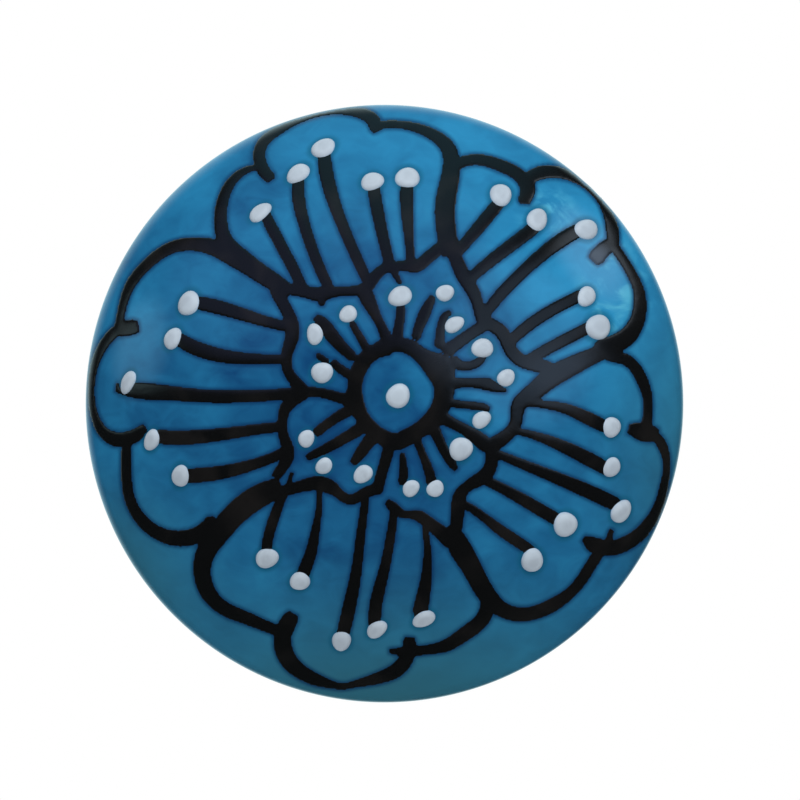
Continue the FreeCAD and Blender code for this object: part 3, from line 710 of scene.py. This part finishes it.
class KNOB_OT_glazed_head(bpy.types.Operator):
    """Makes the glazed head, a turned form that knows how near the lines and beads are"""
    bl_idname = "knob.glazed_head"
    bl_label = "Glazed head"

    def execute(self, context):
        face_steps = 152
        rim_steps = 28
        back_steps = 6
        hollow_steps = 12
        sides = 440
        seam_angle = math.degrees(math.asin(SEAM_RADIUS / BALL_RADIUS))
        face = np.linspace(0, SEAM_RADIUS, face_steps)
        face_run = np.stack([face, glaze_out(face)], -1)
        rim_run = arc_run(RIM_ACROSS, RIM_OUT, RIM_RADIUS, seam_angle, 180 - BACK_ANGLE, rim_steps)
        hollow_run = arc_run(
            NECK_RADIUS + NECK_HOLLOW, FERRULE_OUT, NECK_HOLLOW, -BACK_ANGLE, -90, hollow_steps)
        back_run = np.linspace(rim_run[-1], hollow_run[0], back_steps)
        socket = np.array([
            (NECK_RADIUS, NECK_OUT), (SOCKET_RADIUS, NECK_OUT), (SOCKET_RADIUS, SOCKET_OUT), (0, SOCKET_OUT)])
        profile = np.concatenate([face_run, rim_run[1:], back_run[1:-1], hollow_run, socket])
        head = turned_solid("glazed_head", profile, sides)
        corners = corners_of(head.data)
        front = -corners[:, 1] >= RIM_OUT
        across, up = corners[front][:, [0, 2]].T
        pooling_reach = 0.3 * MM
        near = np.zeros(len(corners))
        near[front] = np.clip(1 + LINES.at(across, up) / pooling_reach, 0, 1)
        beads = np.zeros(len(corners))
        beads[front] = bead_nearness(across, up)
        store(head, "line_near", near)
        store(head, "bead_near", beads)
        head.data.materials.append(turquoise_glaze(context.scene.knob_look))
        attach(head, "root")
        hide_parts("ceramic_head")
        return {"FINISHED"}


class KNOB_OT_trailed_lines(bpy.types.Operator):
    """Makes the raised black lines as one closed skin on the glaze"""
    bl_idname = "knob.trailed_lines"
    bl_label = "Trailed lines"

    def execute(self, context):
        """A grid over the face keeps its cells that touch a line.

        A kept place outside the line moves to the outline. The height over the glaze follows a quarter circle
        across the shoulder, the root of 1 less (1 less the share across) squared, and is flat beyond it.
        The same cells below the glaze, turned over, close the skin.
        """
        look = context.scene.knob_look
        x, z = np.meshgrid(LINES.side, LINES.side, indexing="ij")
        inside = LINES.inside
        cell = inside[:-1, :-1] | inside[1:, :-1] | inside[:-1, 1:] | inside[1:, 1:]
        used = np.pad(cell, ((0, 1), (0, 1)))
        used = used | np.roll(used, 1, 0)
        used = used | np.roll(used, 1, 1)
        outside = used & ~inside
        x = np.where(outside, LINES.edge[..., 0], x)
        z = np.where(outside, LINES.edge[..., 1], z)
        depth = np.clip(LINES.distance / look.line_shoulder, 0, 1)
        rounded = smoothed(np.sqrt(1 - (1 - depth) ** 2), 3)
        edge_lift = -0.02 * MM
        under_lift = -0.06 * MM
        top = glaze_place(x, z, np.where(inside, look.line_height * rounded, edge_lift))[used]
        bottom = glaze_place(x, z, np.full(x.shape, under_lift))[used]
        number = np.full(x.shape, -1)
        number[used] = np.arange(len(top))
        column, row = np.nonzero(cell)
        upper = np.stack([
            number[column, row], number[column + 1, row],
            number[column + 1, row + 1], number[column, row + 1]], -1)
        edges = np.concatenate([upper[:, [corner, (corner + 1) % 4]] for corner in range(4)])
        kinds, uses = np.unique(np.sort(edges, axis=1), axis=0, return_counts=True)
        border = kinds[uses == 1] @ (len(top), 1)
        edges = edges[np.isin(np.sort(edges, axis=1) @ (len(top), 1), border)]
        walls = np.stack([edges[:, 1], edges[:, 0], edges[:, 0] + len(top), edges[:, 1] + len(top)], -1)
        faces = np.concatenate([upper, upper[:, ::-1] + len(top), walls])
        lines = new_piece("trailed_lines", np.concatenate([top, bottom]), faces.tolist())
        lines.data.materials.append(black_line_glaze(look))
        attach(lines, "root")
        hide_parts("flower_lines")
        return {"FINISHED"}


class KNOB_OT_white_beads(bpy.types.Operator):
    """Makes the raised white beads, each a low drop on the glaze"""
    bl_idname = "knob.white_beads"
    bl_label = "White beads"

    def execute(self, context):
        """Every bead is a run of rings: an oval, uneven round its edge, that rises as a flattened dome.

        The dome's height is its top times (1 less the share of the way out cubed) to the power 0.7.
        """
        look = context.scene.knob_look
        rings = 12
        sides = 30
        angle = np.linspace(0, 2 * np.pi, sides, endpoint=False)
        reach = np.sin(np.linspace(0.12, np.pi / 2, rings))[:, None]
        rise = (1 - reach**3) ** 0.7
        edge_lift = -0.04 * MM
        under_lift = -0.12 * MM
        full_size = 12 * PIXEL
        corners = []
        faces = []
        heights = []
        for number, (bead_x, bead_z, half_length, half_width, turn) in enumerate(bead_shapes()):
            uneven = 1 + 0.035 * np.sin(2 * angle + 1.7 * number) + 0.03 * np.sin(3 * angle + 2.1 * number)
            along = half_length * reach * np.cos(angle) * uneven
            across = half_width * reach * np.sin(angle) * uneven
            x = bead_x + along * math.cos(turn) - across * math.sin(turn)
            z = bead_z + along * math.sin(turn) + across * math.cos(turn)
            height = look.bead_height * min(1, (half_length + half_width) / (2 * full_size))
            lean = 1 + 0.1 * reach * np.cos(angle - number)
            places = glaze_place(x, z, height * rise * lean + edge_lift).reshape(-1, 3)
            pole_lift = np.array([height + edge_lift, under_lift])
            poles = glaze_place(np.full(2, bead_x), np.full(2, bead_z), pole_lift)
            start = number * (rings * sides + 2)
            closed = ring_faces(rings, sides).tolist() + pole_faces(rings, sides)
            faces += [[corner + start for corner in face] for face in closed]
            corners += [places, poles]
            heights += [np.repeat(rise, sides), (1, 0)]
        beads = new_piece("white_beads", np.concatenate(corners), faces)
        store(beads, "bead_height", np.concatenate(heights))
        beads.data.materials.append(white_dot_glaze(look))
        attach(beads, "root")
        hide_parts("raised_dots")
        return {"FINISHED"}


class KNOB_OT_metalwork(bpy.types.Operator):
    """Turns the ferrule with eased edges, cuts the bolt's thread and gives the cement its finish"""
    bl_idname = "knob.metalwork"
    bl_label = "Metalwork"

    def execute(self, context):
        look = context.scene.knob_metal
        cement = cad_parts["anchor_cement"].data.materials
        cement.clear()
        cement.append(cement_material())
        self.ferrule(look)
        self.bolt(look)
        return {"FINISHED"}

    def ferrule(self, look):
        """A looped profile turned about the axis: lip, taper, stepped foot, hole and cup."""
        sides = 160
        wall = 0.8 * MM
        cup = NECK_RADIUS + 0.1 * MM
        hole = 2.2 * MM
        floor = 1 * MM
        foot_edge = 1.4 * MM
        foot_step = 0.7 * MM
        collar_out = 4.6 * MM
        profile = eased_profile([
            (cup + wall, FERRULE_OUT), (cup + wall, collar_out), (FOOT_RADIUS - foot_step, foot_edge),
            (FOOT_RADIUS, foot_edge), (FOOT_RADIUS, 0), (hole, 0), (hole, floor), (cup, floor),
            (cup, FERRULE_OUT)], look.edge_round)
        rings = turned_corners(profile[:, 0][:, None], profile[:, 1], sides)
        ferrule = new_piece("ferrule", rings, ring_faces(len(rings), sides, looped=True).tolist())
        ferrule.data.materials.append(metal("ferrule brass", look.brass, 0.26, 0.07))
        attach(ferrule, "root")
        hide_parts("base_ferrule")

    def bolt(self, look):
        """Rings along the axis whose radius changes round them.

        In the head the radius is a hexagon's: half its width over the cosine of the angle from the nearest
        flat. In the shank it is plain. In the thread it falls from crest to root and back once in every pitch,
        and where a ring is in that run moves on with the angle, by a pitch in a full turn. A chamfer cuts the
        end back.
        """
        sides = 48
        angle = np.linspace(0, 2 * np.pi, sides, endpoint=False)
        half_width = 3.5 * MM
        hexagon = half_width / np.cos((angle % (np.pi / 3)) - np.pi / 6)
        head_seat = 8 * MM
        shank = 1.75 * MM
        crest = 2 * MM
        chamfer = 0.5 * MM
        head_bevel = 0.2 * MM
        bevel_share = 0.95
        shank_end = 0.1 * MM
        thread_step = 0.05 * MM
        crest_share = 0.12
        flank_share = 0.63
        head_out = np.array([BOLT_HEAD_OUT, BOLT_HEAD_OUT - head_bevel, head_seat + head_bevel, head_seat])
        head_radius = np.array([bevel_share, 1, 1, bevel_share])[:, None] * hexagon
        shank_out = np.array([head_seat, shank_end])
        shank_radius = np.full((2, sides), shank)
        thread_out = np.arange(0, THREAD_OUT, -thread_step)
        turn = (thread_out[:, None] / look.thread_pitch + angle / (2 * np.pi)) % 1
        from_crest = np.abs(2 * turn - 1)
        depth_share = np.clip((from_crest - crest_share) / flank_share, 0, 1)
        thread_radius = crest - look.thread_depth * depth_share
        from_end = thread_out[:, None] - THREAD_OUT
        thread_radius = np.minimum(thread_radius, crest - chamfer + np.minimum(from_end, chamfer))
        out = np.concatenate([head_out, shank_out, thread_out])
        radius = np.concatenate([head_radius, shank_radius, thread_radius])
        rings = turned_corners(radius, out, sides)
        poles = np.array([(0, -BOLT_HEAD_OUT, 0), (0, -thread_out[-1], 0)])
        faces = ring_faces(len(rings), sides).tolist() + pole_faces(len(rings), sides)
        bolt = new_piece("threaded_bolt", np.concatenate([rings.reshape(-1, 3), poles]), faces)
        bolt.data.materials.append(metal("bolt steel", look.steel, 0.3, 0.06))
        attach(bolt, "root")
        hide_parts("fixing_bolt")


# The soft windows that the glaze mirrors. Each has its elevation, its azimuth to the camera's right, and how
# far from its middle it starts to fade and has faded, all in degrees, and then its colour.
WINDOWS = (
    (42, 15, 14, 34, (0.12, 0.17, 0.34, 1)), (40, -48, 16, 36, (0.14, 0.19, 0.36, 1)),
    (18, 45, 17, 29, (0.34, 0.5, 0.72, 1)), (36, 86, 5, 15, (1.0, 1.2, 1.4, 1)),
    (13, -85, 4, 14, (0.5, 0.75, 0.8, 1)), (88, 0, 12, 45, (0.12, 0.32, 0.42, 1)))


def way_to(elevation, azimuth):
    """The direction from the knob at an elevation and at an azimuth to the camera's right, in degrees."""
    rise = math.radians(elevation)
    turn = math.radians(azimuth)
    return Vector((math.sin(turn) * math.cos(rise), -math.cos(turn) * math.cos(rise), math.sin(rise)))


class KNOB_OT_stage(bpy.types.Operator):
    """Sets up the camera, the floor, the soft studio lights and the white surroundings"""
    bl_idname = "knob.stage"
    bl_label = "Stage"

    def execute(self, context):
        self.camera(context)
        self.surroundings(context)
        self.floor()
        soft_light("light from above", 48, 10, 1.2, (1.0, 1.0), 13.0)
        context.scene.view_settings.view_transform = "Standard"
        return {"FINISHED"}

    def camera(self, context):
        """A camera square-on to the face, as far off as its setting says, framed as the photograph is."""
        distance = context.scene.knob_stage.camera_distance
        camera = bpy.data.cameras.new("camera")
        camera.sensor_width = 36
        camera.lens = camera.sensor_width * distance / (PHOTO_WIDTH * PIXEL)
        camera.clip_start = 0.01
        camera.clip_end = 10
        camera_object = bpy.data.objects.new("camera", camera)
        middle = PHOTO_WIDTH / 2
        camera_object.location = (
            (middle - PHOTO_CENTRE_ACROSS) * PIXEL, -(RIM_OUT + distance),
            (PHOTO_CENTRE_DOWN - middle) * PIXEL)
        camera_object.rotation_euler = (math.radians(90), 0, 0)
        context.scene.collection.objects.link(camera_object)
        context.scene.camera = camera_object

    def floor(self):
        """A pale disc below the camera's view. It takes the knob's shadow, and no gloss shows it."""
        material, nodes, links, shader = new_material("pale floor")
        shader.inputs["Base Color"].default_value = (0.8, 0.8, 0.8, 1)
        shader.inputs["Roughness"].default_value = 0.9
        shader.inputs["Emission Color"].default_value = (1, 1, 1, 1)
        path = nodes.new("ShaderNodeLightPath")
        links.new(combine(nodes, links, "MULTIPLY", path.outputs["Is Camera Ray"], 0.4),
                  shader.inputs["Emission Strength"])
        sides = 64
        floor_radius = 0.3
        floor_down = 0.06
        angle = np.linspace(0, 2 * np.pi, sides, endpoint=False)
        across = floor_radius * np.cos(angle)
        deep = floor_radius * np.sin(angle)
        corners = np.stack([across, deep, np.full(sides, -floor_down)], -1)
        floor = new_piece("floor", corners, [list(range(sides))], smooth=False)
        floor.data.materials.append(material)
        floor.visible_glossy = False

    def surroundings(self, context):
        """White to the camera. A gloss shows a pale wall behind the knob and a dim room with soft windows."""
        world = bpy.data.worlds.new("surroundings")
        context.scene.world = world
        world.use_nodes = True
        nodes = world.node_tree.nodes
        links = world.node_tree.links
        shader = nodes["Background"]
        path = nodes.new("ShaderNodeLightPath")
        way = nodes.new("ShaderNodeTexCoord")
        backdrop = add(nodes, "ShaderNodeVectorMath", operation="DOT_PRODUCT")
        links.new(way.outputs["Generated"], backdrop.inputs[0])
        backdrop.inputs[1].default_value = (-0.2, 0.92, 0.33)
        behind = ramp(nodes, links, backdrop.outputs["Value"], 0.52, 1.0)
        room = (0.02, 0.03, 0.03, 1)
        for elevation, azimuth, inner, outer, colour in WINDOWS:
            near = add(nodes, "ShaderNodeVectorMath", operation="DOT_PRODUCT")
            links.new(way.outputs["Generated"], near.inputs[0])
            near.inputs[1].default_value = way_to(elevation, azimuth)
            share = ramp(nodes, links, near.outputs["Value"], math.cos(math.radians(outer)),
                         math.cos(math.radians(inner)))
            room = blend_colours(nodes, links, share, room, colour)
        in_gloss = blend_colours(nodes, links, behind, room, (0.62, 0.92, 1, 1))
        glossy = combine(
            nodes, links, "MAXIMUM", path.outputs["Is Glossy Ray"], path.outputs["Is Transmission Ray"])
        plain_light = (0.5, 0.5, 0.5, 1)
        colour = blend_colours(nodes, links, glossy, plain_light, in_gloss)
        colour = blend_colours(nodes, links, path.outputs["Is Camera Ray"], colour, (1, 1, 1, 1))
        links.new(colour, shader.inputs["Color"])


def soft_light(name, elevation, azimuth, distance, size, power):
    """A white rectangular lamp that faces the knob from an elevation and an azimuth in degrees."""
    lamp = bpy.data.lights.new(name, "AREA")
    lamp.shape = "RECTANGLE"
    lamp.size, lamp.size_y = size
    lamp.energy = power
    lamp_object = bpy.data.objects.new(name, lamp)
    way = way_to(elevation, azimuth)
    lamp_object.location = way * distance
    lamp_object.rotation_mode = "QUATERNION"
    lamp_object.rotation_quaternion = way.to_track_quat("Z", "Y")
    lamp_object.visible_glossy = False
    lamp_object.visible_camera = False
    bpy.context.scene.collection.objects.link(lamp_object)


class KNOB_PT_panel(bpy.types.Panel):
    """Lists the knob's settings and its steps"""
    bl_idname = "KNOB_PT_panel"
    bl_label = "Cabinet knob"
    bl_space_type = "VIEW_3D"
    bl_region_type = "UI"
    bl_category = "Knob"

    def draw(self, context):
        for group in (context.scene.knob_look, context.scene.knob_metal, context.scene.knob_stage):
            box = self.layout.box()
            for name in group.bl_rna.properties.keys():
                if name not in ("rna_type", "name"):
                    box.prop(group, name)
        for step in STEPS:
            self.layout.operator(step.bl_idname)


GROUPS = {"knob_look": KnobLook, "knob_metal": KnobMetal, "knob_stage": KnobStage}
STEPS = (
    KNOB_OT_glazed_head, KNOB_OT_trailed_lines, KNOB_OT_white_beads, KNOB_OT_metalwork, KNOB_OT_stage)
LINES = LineField(0.11 * MM)


def register():
    for kind in (*GROUPS.values(), *STEPS, KNOB_PT_panel):
        bpy.utils.register_class(kind)
    for name, kind in GROUPS.items():
        setattr(bpy.types.Scene, name, bpy.props.PointerProperty(type=kind))


def unregister():
    for name in GROUPS:
        delattr(bpy.types.Scene, name)
    for kind in reversed((*GROUPS.values(), *STEPS, KNOB_PT_panel)):
        bpy.utils.unregister_class(kind)


def main():
    register()
    bpy.ops.knob.glazed_head()
    bpy.ops.knob.trailed_lines()
    bpy.ops.knob.white_beads()
    bpy.ops.knob.metalwork()
    bpy.ops.knob.stage()


if __name__ == "__main__":
    main()
